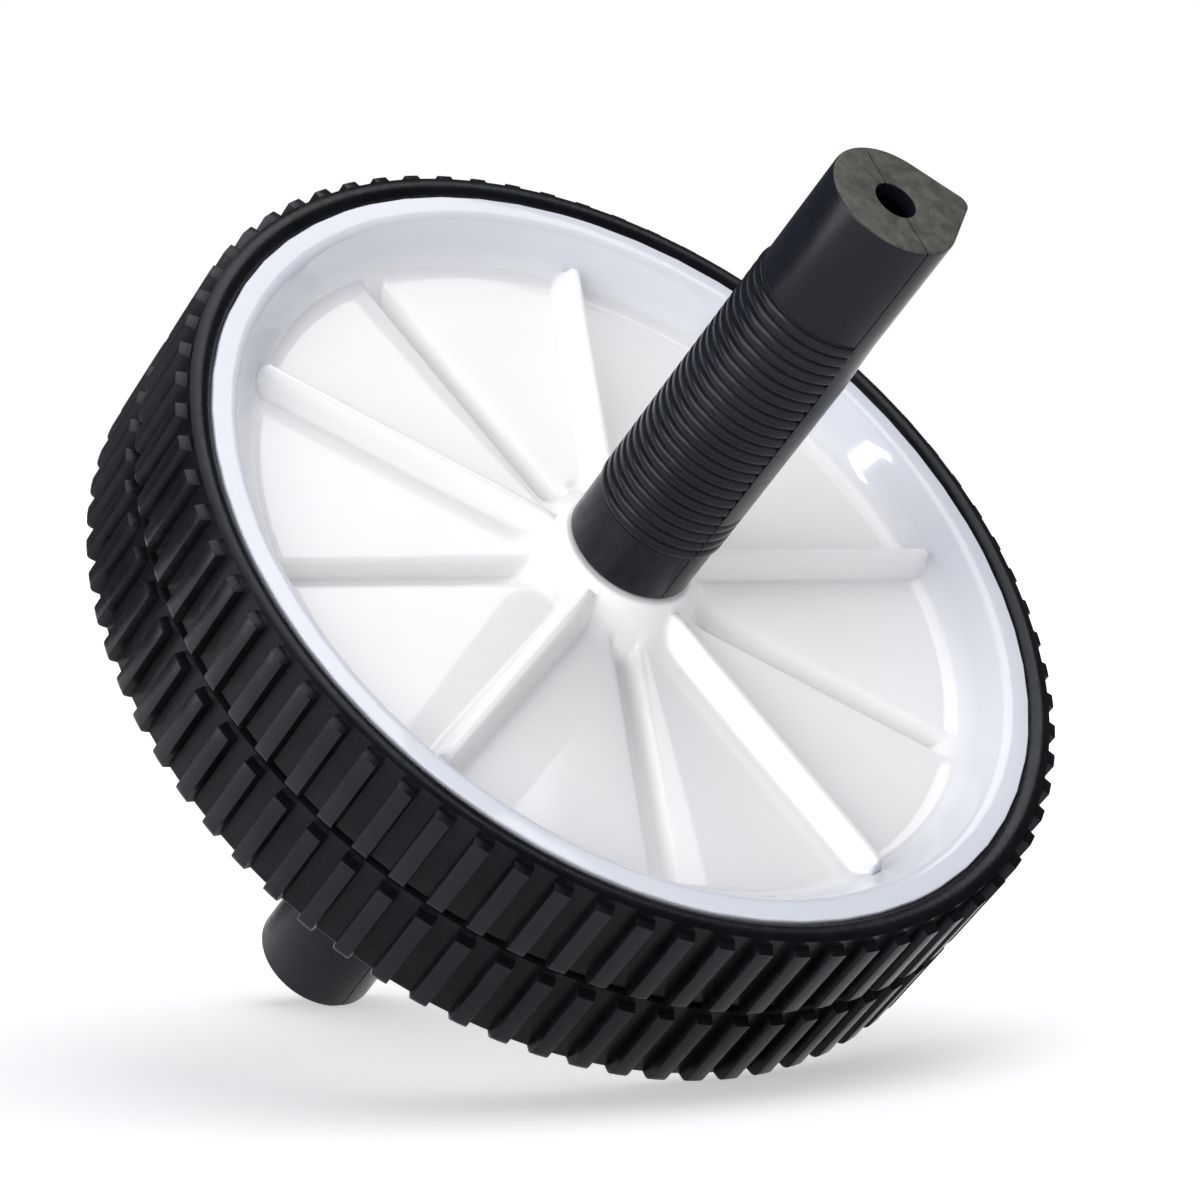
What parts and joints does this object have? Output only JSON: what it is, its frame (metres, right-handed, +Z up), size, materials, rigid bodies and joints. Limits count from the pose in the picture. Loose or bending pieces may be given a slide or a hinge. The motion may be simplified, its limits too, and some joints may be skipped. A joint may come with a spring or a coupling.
{
  "type": "ab wheel roller",
  "caption": "Ab wheel roller: ribbed white dished wheels with lugged rubber tyres, locked side by side and spinning freely on a steel axle between ringed hand grips.",
  "frame": {"origin": "on the floor, below the centre of the roller's bounding box, which is also below the centre of the wheels", "axes": "+Z up, +X along the axle's direction on the floor towards the raised near grip, +Y towards the ridged backs of the grips; the roller lies as in the picture, leaning on the far tyre's edge and the far grip's end"},
  "size_m": [0.187, 0.184, 0.1654],
  "materials": {
    "white_plastic": "glossy injection-moulded white plastic",
    "tyre_rubber": "matte moulded black rubber",
    "charcoal_plastic": "satin charcoal plastic with a fine grain",
    "steel": "zinc-plated steel",
    "nylon": "natural nylon"
  },
  "bodies": {
    "grips": {"axle_tube": "steel", "near_handle_front": "charcoal_plastic", "near_handle_back": "charcoal_plastic", "far_handle_front": "charcoal_plastic", "far_handle_back": "charcoal_plastic", "near_handle_screws": "steel", "far_handle_screws": "steel", "near_washer": "nylon", "far_washer": "nylon"},
    "wheel": {"near_wheel": "white_plastic", "far_wheel": "white_plastic", "near_tyre": "tyre_rubber", "far_tyre": "tyre_rubber", "near_bush": "nylon", "far_bush": "nylon"}
  },
  "joints": [
    {"name": "wheel_spin", "type": "hinge", "parent": "grips", "child": "wheel", "pos_m": [0, 0, 0.08269], "axis": [0.7589, 0, 0.6513], "continuous": true}
  ]
}
